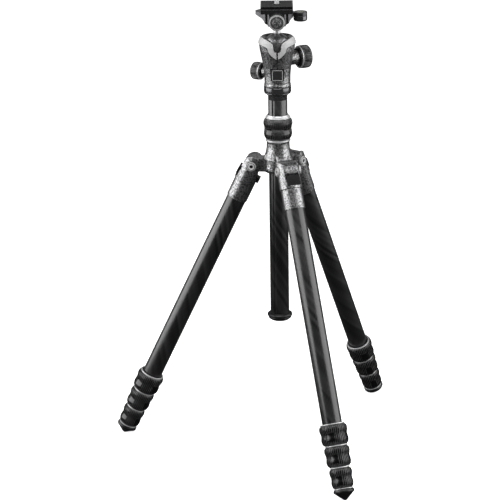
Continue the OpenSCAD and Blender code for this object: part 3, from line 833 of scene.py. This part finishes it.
def column_cap_piece():
    r, z0, z1 = turned_size("column_cap", AXIS)
    cap = fillet([
        (0, z0, 0), (r - 9, z0, 0.4), (r - 8.4, z0 + 0.5, 0.3), (r - 6.6, z0 + 0.5, 0.3), (r - 6, z0, 0.3),
        (r - 4, z0 + 0.4, 0.8), (r - 1.8, z0 + 2.2, 1.2), (r - 0.9, z0 + 4.2, 0.4), (r - 1.5, z0 + 4.8, 0.25),
        (r, z0 + 5.8, 0.4), (r, z0 + 7.6, 0.6), (r - 1.2, z0 + 8.8, 0.6), (r - 3.2, z0 + 10.1, 0.6),
        (12.25, z0 + 10.1, 0.2), (12.25, z0 + 9.4, 0), (10.5, z0 + 9.4, 0), (10.5, z1, 0.5),
        (0, z1, 0)
    ], 0.3)
    put(lathe("column_end_cap", cap, AXIS, RUBBER, 112), "column", "black_anodised", "column_cap")


# ---------- ball head ----------

# Lower edge of one half of the notch's frame, from its middle to its side: X and height above the ball
TRIM_EDGE = [(0.9, -13.6), (2.1, -13.0), (5.3, -11.1), (8.6, -7.9), (10.8, -5.0), (11.6, -1.8), (12.5, 0.6),
             (14.9, 1.9), (18.0, 2.7), (21.3, 3.2)]
SLIT_HALF = 0.7


def bead(name, path, radius, matrix, material):
    """A round bead along a path."""
    curve = bpy.data.curves.new(name, "CURVE")
    curve.dimensions = "3D"
    curve.bevel_depth, curve.bevel_resolution, curve.use_fill_caps = radius * MM, 3, True
    spline = curve.splines.new("POLY")
    spline.points.add(len(path) - 1)
    for point, place in zip(spline.points, path):
        point.co = (*(Vector(place) * MM), 1)
    drawn = bpy.data.objects.new(name, curve)
    bpy.context.scene.collection.objects.link(drawn)
    bpy.context.view_layer.update()
    mesh = bpy.data.meshes.new_from_object(drawn.evaluated_get(bpy.context.evaluated_depsgraph_get()))
    bpy.data.objects.remove(drawn)
    return finish_mesh(name, mesh, matrix, material)


def notch_shade_bead(side):
    """Black bead along the lower edge of one half of the frame, against the housing: painted shade, a fixed
    dark line where the frame meets the housing.
    """
    mesh = frame["nodes"]["head_body"].data
    housing = BVHTree.FromPolygons([v.co for v in mesh.vertices], [p.vertices[:] for p in mesh.polygons])
    back = (HEAD.to_3x3() @ Vector((0, 1, 0))).normalized()
    path = []
    for (x0, z0), (x1, z1) in zip(TRIM_EDGE, TRIM_EDGE[1:]):
        for i in range(4):
            t = i / 4
            start = HEAD @ Vector((side * (x0 + (x1 - x0) * t), -40, z0 + (z1 - z0) * t - 0.35))
            place = housing.ray_cast(start, back)[0]
            if place:
                path.append(HEAD.inverted() @ place + Vector((0, -0.15, 0)))
    smooth = [path[0]] + [(a + b * 2 + c) / 4 for a, b, c in zip(path, path[1:], path[2:])] + [path[-1]]
    return bead(f"head_shade_bead_{'left' if side < 0 else 'right'}", smooth, 0.55, HEAD, NYLON)


def badge(low, high):
    """Blank black plate with a thin satin frame let into it."""
    plate = block("badge_plate", (low.x, low.y + 0.3, low.z), (high.x, high.y, high.z), HEAD, GLOSS, 0.4)
    put(plate, "head", "black_nylon", "head_badge")
    width, x, z0, z1 = 0.6, high.x - 1.9, low.z + 0.6, high.z - 1.0
    rails = []
    for a, b in (((-x, z0), (width - x, z1)), ((x - width, z0), (x, z1)), ((-x, z0), (x, z0 + width)),
                 ((-x, z1 - width), (x, z1))):
        rails.append(block("badge_rail", (a[0], low.y, a[1]), (b[0], low.y + 1.2, b[1]), HEAD, SATIN, 0.15))
    put(joined("head_badge_rim", rails), "head", "silver_trim")


def housing_pieces():
    """Housing with its slit and seam, the frame of its notch, the black beads of painted shade along the
    frame's lower edge, the ball's seats and the badge.
    """
    low = local_box("head_body", HEAD)[0]
    badge_low, badge_high = local_box("head_badge", HEAD)
    slit = block("slit", (-SLIT_HALF, low.y - 5, badge_high.z + 0.1), (SLIT_HALF, -16.2, TRIM_EDGE[0][1] + 2),
                 HEAD, NYLON, 0)
    seam_z = low.z + 4.4
    seam_outline = [(15.7, seam_z), (20, seam_z), (20, seam_z + 0.7), (15.7, seam_z + 0.7)]
    seam = lathe("seam", seam_outline, HEAD, NYLON)
    body = cast("head_body", "head_housing", HAMMERED, 0.3, 4, joined("cut", [slit, seam]))
    put(body, "head", "hammered_grey", "head_body")
    trim = cast("head_trim", "head_notch_frame", TRIM, 0.16, 4)
    put(trim, "head", "silver_trim", "head_trim")
    for side in (-1, 1):
        # Black beads of painted shade under the frame's lower edges
        put(notch_shade_bead(side), "head", "black_nylon")
    seats = cast("ball_seats", "head_ball_seats", NYLON, 0.25, 3)
    put(seats, "head", "black_nylon", "ball_seats")
    pan_index(low.z + 2.2)
    badge(badge_low, badge_high)


def pan_index(z):
    """Three marks at the front of the housing's foot."""
    outline = fillet([(0, 15.5, 0), (0.75, 15.5, 0), (0.75, 17.1, 0.2), (0, 17.1, 0)], 0.2)
    for turn in (-11, 0, 11):
        mark = lathe("mark", outline, turned(HEAD, turn - 90, z), NYLON, 24)
        mark.name = f"pan_index_{turn + 12}"
        put(mark, "head", "black_nylon")


def ball_pieces():
    r = local_box("ball", HEAD)[1].z
    arc = [(r * math.sin(math.pi * i / 64), -r * math.cos(math.pi * i / 64)) for i in range(65)]
    arc[0], arc[-1] = (0, -r), (0, r)
    put(lathe("head_ball", arc, HEAD, BALL, 128, closed=False), "ball", "ball_metal", "ball")
    high = local_box("ball_neck", HEAD)[1]
    top, foot = high.z, r + 0.3
    neck_r, seat_r = 4.4, high.x
    dish = [(neck_r * i / 6, math.sqrt(foot ** 2 - (neck_r * i / 6) ** 2)) for i in range(7)]
    outline = dish + fillet([(neck_r, foot + 4.6, 0), (neck_r, 22.6, 1.5), (5.2, 25.4, 2.0),
                             (seat_r, top - 0.6, 0.4), (seat_r, top, 0.2), (0, top, 0)], 0.3)[1:]
    put(lathe("head_neck", outline, HEAD, STEEL, 96), "neck", "polished_steel", "ball_neck")


def lock_knob(name, node, shaft_node, joint, body, ribs):
    """Knurled knob on a stepped hub, with a polished ring on its inner shoulder and a domed face."""
    angle = direction(joint, HEAD)
    axis = turned(HEAD, angle, height(joint))
    low, high = local_box(node, axis)
    r, z0, length = high.y, low.z, high.z - low.z
    place = axis @ Matrix.Translation((0, 0, z0))
    grip = []
    samples, start = 26, 3.4
    for i in range(samples + 1):
        t = i / samples
        bulge = 0.35 * math.sin(math.pi * t) - 0.35
        grip.append((r + bulge, start + t * (length - start - 2.4)))
    dome = [(r - 1.0, length - 1.5), (r - 2.2, length - 0.6), (r - 3.6, length - 0.15), (r - 4.6, length),
            (r - 5.4, length - 0.1), (r - 6.0, length - 0.5), (0, length - 0.5)]
    inner = [(0, 8), (3.05, 8), (3.05, 0.2), (r - 4.2, 0.2), (r - 3.6, 0.8), (r - 3.0, 2.6), (r - 1.2, 3.0)]

    def wobble(a, radius, z):
        if radius < r - 0.9 or z < start - 0.1:
            return radius
        fade = smooth_step(z, start + 0.6, start + 1.8) * (1 - smooth_step(z, length - 4.0, length - 2.6))
        return radius - 0.6 * rib_groove(ribs, a, 0.6) * fade

    grip_piece = lathe(f"{name}_grip", grip + dome + inner, place, KNURLED, ribs * 8, wobble=wobble)
    put(grip_piece, body, "black_rubber", node)
    put(ring(f"{name}_ring", r - 2.2, r - 0.35, 2.0, 3.3, place, STEEL, 0.5), body, "polished_steel")
    put(ring(f"{name}_collar", 3.1, r - 3.2, -0.1, 1.8, place, ANODISED, 0.4), body, "black_anodised")

    low, high = local_box(shaft_node, axis)
    shaft = lathe(f"{name}_shaft", fillet([(0, low.z, 0), (3, low.z), (3, high.z), (0, high.z, 0)], 0.3),
                  axis, STEEL, 48)
    put(shaft, body, "polished_steel", shaft_node)


# ---------- clamp and plate ----------

def clamp_castings():
    base = cast("clamp_body", "clamp_base", GUNMETAL, 0.26, 3)
    put(base, "clamp", "black_anodised", "clamp_body")
    jaw = cast("clamp_jaw", "clamp_moving_jaw", GUNMETAL, 0.2, 2)
    put(jaw, "clamp_jaw", "black_anodised", "clamp_jaw")


def clamp_knob_pieces():
    """Ribbed grip with a satin rim and a turned face, and the screw it drives."""
    place = Matrix.Translation((0, 0, height("clamp_knob_turn")))
    knob_axis = HEAD @ place @ Matrix.Rotation(math.radians(90), 4, "X")
    r, z0, z1 = turned_size("clamp_knob", knob_axis)
    length = z1 - z0
    place = knob_axis @ Matrix.Translation((0, 0, z0))
    grip = [(r - 0.25 + 0.25 * math.sin(math.pi * i / 16), 1.4 + i / 16 * (length - 4.4)) for i in range(17)]
    outline = grip + [(r - 0.5, length - 2.8), (r - 0.9, length - 2.5)] + [
        (r - 2.4, length - 2.4), (2.55, length - 6), (2.55, 0.1), (r - 2.2, 0.1), (r - 0.7, 0.7)]

    def wobble(a, radius, z):
        if radius < r - 0.35:
            return radius
        fade = smooth_step(z, 1.6, 2.6) * (1 - smooth_step(z, length - 4.2, length - 3.2))
        return radius - 0.45 * rib_groove(40, a, 0.6) * fade

    put(lathe("clamp_knob_grip", outline, place, KNURLED, 320, wobble=wobble), "clamp_knob", "black_rubber",
        "clamp_knob")
    rim = fillet([(r - 2.6, length - 2.3, 0.2), (r - 0.5, length - 2.5, 0.3), (r - 0.6, length - 1.5, 0.4),
                  (r - 1.7, length - 0.2, 0.5), (r - 2.3, length - 0.1, 0.2)], 0.3)
    put(lathe("clamp_knob_rim", rim, place, SATIN, 128), "clamp_knob", "silver_trim")
    face = [(0, length - 3.0)] + [((r - 2.4) * i / 8, length - 0.35 - 0.9 * (i / 8) ** 2) for i in range(9)]
    face = face + [(r - 2.4, length - 3.0)]
    put(lathe("clamp_knob_face", face, place, TURNED, 96), "clamp_knob", "black_anodised")
    screw = threaded_rod("clamp_screw_rod", *turned_size("clamp_screw", knob_axis), 1.0, knob_axis)
    put(screw, "clamp_knob", "polished_steel", "clamp_screw")


def threaded_rod(name, r, z0, z1, pitch, matrix, depth=0.4, segments=48):
    """A rod with a real helical thread, and chamfered ends."""
    verts, faces = [], []
    per_turn = 8
    rows = max(2, int((z1 - z0) / pitch * per_turn))
    for row in range(rows + 1):
        z = z0 + (z1 - z0) * row / rows
        for s in range(segments):
            a = 2 * math.pi * s / segments
            phase = ((z - z0) / pitch - a / (2 * math.pi)) % 1.0
            crest = 1 - abs(2 * phase - 1)
            end = min(z - z0, z1 - z, 0.8)
            radius = min(r - depth * (1 - min(crest * 1.6, 1.0)), r - 0.8 + end)
            verts.append((radius * math.cos(a), radius * math.sin(a), z))
    for row in range(rows):
        for s in range(segments):
            t = (s + 1) % segments
            a, b = row * segments, (row + 1) * segments
            faces.append((a + s, a + t, b + t, b + s))
    faces.append(tuple(range(segments - 1, -1, -1)))
    faces.append(tuple(rows * segments + s for s in range(segments)))
    return mesh_object(name, verts, faces, matrix, STEEL)


def level_pieces():
    """Round cup, and the vial with its bezel and the circle on its top."""
    low, high = local_box("level_cup", HEAD)
    centre = (low + high) / 2
    place = HEAD @ Matrix.Translation((centre.x, centre.y, 0))
    r, z0, z1 = (high.x - low.x) / 2, low.z, high.z
    cup = fillet([(0, z0, 0), (r - 1.8, z0, 0.6), (r - 0.4, z0 + 0.8, 0.8), (r, z0 + 2.2, 0.6), (r, z1, 0.3),
                  (0, z1, 0)], 0.4, 5)
    put(lathe("level_housing", cup, place, GLOSS, 96), "clamp", "black_nylon", "level_cup")
    low, high = local_box("level_vial", HEAD)
    r, z0, z1 = (high.x - low.x) / 2, low.z, high.z
    window = r - 2.4
    vial = fillet([(0, z0, 0), (r, z0, 0.3), (r, z1 - 1.3, 0.2), (window, z1 - 1.3, 0.1),
                   (window, z1 - 0.1, 0.3), (0, z1, 0)], 0.3)
    put(lathe("level_vial_glass", vial, place, FLUID, 64), "clamp", "level_fluid", "level_vial")
    bezel = ring("level_bezel", window + 0.05, r - 0.02, z1 - 1.25, z1 + 0.1, place, GLOSS, 0.3)
    put(bezel, "clamp", "black_nylon")
    circle = ring("level_circle", 1.5, 1.8, z1 - 0.1, z1 + 0.08, place, NYLON, 0.08)
    put(circle, "clamp", "black_nylon")


def plate_pieces():
    """Camera plate: body, rubber strips in a pocket of its top, and the camera screw with its thread."""
    low, high = local_box("camera_plate", HEAD)
    strips = []
    top = high.z
    lip, gap, inset = 2.0, 0.35, 0.03
    pocket = block("pocket", (low.x + lip - 0.2, low.y + lip - 0.2, top - 0.6),
                   (high.x - lip + 0.2, high.y - lip + 0.2, top + 2), HEAD, ANODISED, 0)
    body = cast("camera_plate", "camera_plate_body", ANODISED, 0.22, 3, pocket)
    put(body, "plate", "black_anodised", "camera_plate")
    rows = 9
    depth = (high.y - low.y - 2 * lip) / rows
    for row in range(rows):
        y0 = low.y + lip + row * depth + gap / 2
        y1 = y0 + depth - gap
        spans = [(low.x + lip, high.x - lip)]
        if y0 < 5.2 and y1 > -5.2:
            spans = [(low.x + lip, -5.6), (5.6, high.x - lip)]
        for x0, x1 in spans:
            strips.append(block("strip", (x0, y0, top - 1.2), (x1, y1, top - inset), HEAD, PLATE_TOP, 0.15))
    put(joined("camera_plate_grip", strips), "plate", "black_rubber")
    low, high = local_box("camera_screw", HEAD)
    r, head_r = 3.175, high.x
    thread = threaded_rod("thread", r, top - 6, high.z, 1.27, HEAD, 0.55, 64)
    z0 = low.z
    head = lathe("screw_head", fillet([(0, z0 + 0.9, 0), (head_r - 1.0, z0, 0.4), (head_r, z0 + 0.3, 0.3),
                                       (head_r, z0 + 2.7, 0.3), (0, z0 + 2.7, 0)], 0.3), HEAD, STEEL, 64)
    ring_outline = fillet([(r - 0.2, top - 0.6, 0), (4.9, top - 0.6, 0), (4.9, top - 0.05, 0.2),
                           (r - 0.2, top - 0.05, 0.1)], 0.15)
    boss = lathe("screw_boss", ring_outline, HEAD, ANODISED, 64)
    put(joined("camera_screw_thread", [thread, head, boss]), "camera_screw", "polished_steel", "camera_screw")


# ---------- carried-over CAD nodes ----------

def keep(node, material):
    """A CAD node that stays gets its material in its own slots."""
    obj = frame["nodes"][node]
    if not obj.material_slots:
        return
    for s in obj.material_slots:
        s.link = "OBJECT"
        s.material = material


# ---------- stage ----------

FLOOR_SIZE = 60.0
FLOOR_IN_REFLECTIONS = (0.03, 0.03, 0.03)
FLOOR_GLOW = 0.72
ROOM_GLOW = 0.03
CAMERA_PLACE = Vector((0.3976, -2.7419, 0.7897 + PIVOT_Z))
CAMERA_TURN, CAMERA_PITCH, CAMERA_ROLL = 9.032, 18.07, -0.86
FOCAL_PIXELS, FRAME_PIXELS, SENSOR = 2259.5, 500, 36.0


def camera():
    data = bpy.data.cameras.new("camera")
    data.sensor_width = SENSOR
    data.lens = FOCAL_PIXELS / FRAME_PIXELS * SENSOR
    data.clip_start, data.clip_end = 0.05, 100
    obj = bpy.data.objects.new("camera", data)
    bpy.context.scene.collection.objects.link(obj)
    turn = Matrix.Rotation(math.radians(CAMERA_TURN), 4, "Z")
    tip = Matrix.Rotation(math.radians(90 - CAMERA_PITCH), 4, "X")
    roll = Matrix.Rotation(math.radians(CAMERA_ROLL), 4, "Z")
    obj.matrix_world = Matrix.Translation(CAMERA_PLACE) @ turn @ tip @ roll
    bpy.context.scene.camera = obj


def floor():
    """A wide white floor. Only its brightness in reflections is held down, as black flags do in a studio."""
    z = CAD_BOX[0].z
    h = FLOOR_SIZE / 2
    mesh = bpy.data.meshes.new("floor")
    mesh.from_pydata([(-h, -h, z), (h, -h, z), (h, h, z), (-h, h, z)], [], [(0, 1, 2, 3)])
    obj = bpy.data.objects.new("floor", mesh)
    bpy.context.scene.collection.objects.link(obj)
    s = Shader("pale_floor", (0.8, 0.8, 0.8), 0.0, 1.0, Specular_IOR_Level=0.0)
    seen = s.node("ShaderNodeLightPath").outputs["Is Camera Ray"]
    s.drive("Base Color", s.blend(seen, FLOOR_IN_REFLECTIONS, (0.8, 0.8, 0.8)))
    s.set("Emission Color", (1, 1, 1, 1))
    reach = s.node("ShaderNodeVectorMath", Vector=s.place)
    reach.operation = "LENGTH"
    glow = s.between(reach.outputs["Value"], FLOOR_GLOW, 1.0, 0.7, 2.5)
    s.drive("Emission Strength", s.math("MULTIPLY", seen, glow))
    mesh.materials.append(s.material)


def world():
    made = bpy.data.worlds.new("studio")
    bpy.context.scene.world = made
    made.use_nodes = True
    tree = made.node_tree
    path = tree.nodes.new("ShaderNodeLightPath")
    strength = tree.nodes.new("ShaderNodeMapRange")
    tree.links.new(path.outputs["Is Camera Ray"], strength.inputs["Value"])
    strength.inputs["To Min"].default_value = ROOM_GLOW
    strength.inputs["To Max"].default_value = 1.0
    tree.links.new(strength.outputs["Result"], tree.nodes["Background"].inputs["Strength"])
    tree.nodes["Background"].inputs["Color"].default_value = (1, 1, 1, 1)


def softbox(name, azimuth, distance, height, width, tall, power, glossy=True):
    """A soft light at an azimuth from the camera's side of the object, positive to the right."""
    data = bpy.data.lights.new(name, "AREA")
    data.shape, data.size, data.size_y, data.energy = "RECTANGLE", width, tall, power
    obj = bpy.data.objects.new(name, data)
    bpy.context.scene.collection.objects.link(obj)
    a = math.radians(azimuth + CAMERA_TURN)
    target = Vector((0, 0, PIVOT_Z - 0.1))
    obj.location = target + Vector((math.sin(a) * distance, -math.cos(a) * distance, height))
    obj.rotation_mode = "QUATERNION"
    obj.rotation_quaternion = (target - obj.location).to_track_quat("-Z", "Y")
    obj.visible_glossy = glossy
    obj.visible_camera = False


def studio():
    bpy.context.scene.view_settings.view_transform = "Standard"
    world()
    softbox("left", -84, 1.7, 0.3, 2.1, 2.6, 76)
    softbox("right", 78, 1.7, 0.3, 2.1, 2.6, 62)
    softbox("top", 0, 0.9, 1.9, 1.6, 1.2, 28)
    softbox("back", 180, 2.0, 0.95, 2.6, 1.0, 3)
    softbox("fill", 6, 2.4, 1.0, 1.6, 1.6, 38, glossy=False)


# ---------- build ----------

camera()
floor()
studio()
for k in LEGS:
    leg(k)
hub_pieces()
hub_rim()
column_lock_pieces()
column_tube_piece()
column_platform()
pan_base_piece()
column_cap_piece()
housing_pieces()
ball_pieces()
lock_knob("ball_lock", "ball_lock_knob", "ball_lock_shaft", "ball_lock_turn", "ball_lock", 42)
lock_knob("pan_lock", "pan_lock_knob", "pan_lock_shaft", "pan_lock_turn", "pan_lock", 34)
clamp_castings()
clamp_knob_pieces()
level_pieces()
plate_pieces()
keep("column_bush", NYLON)
keep("head_screw", STEEL)
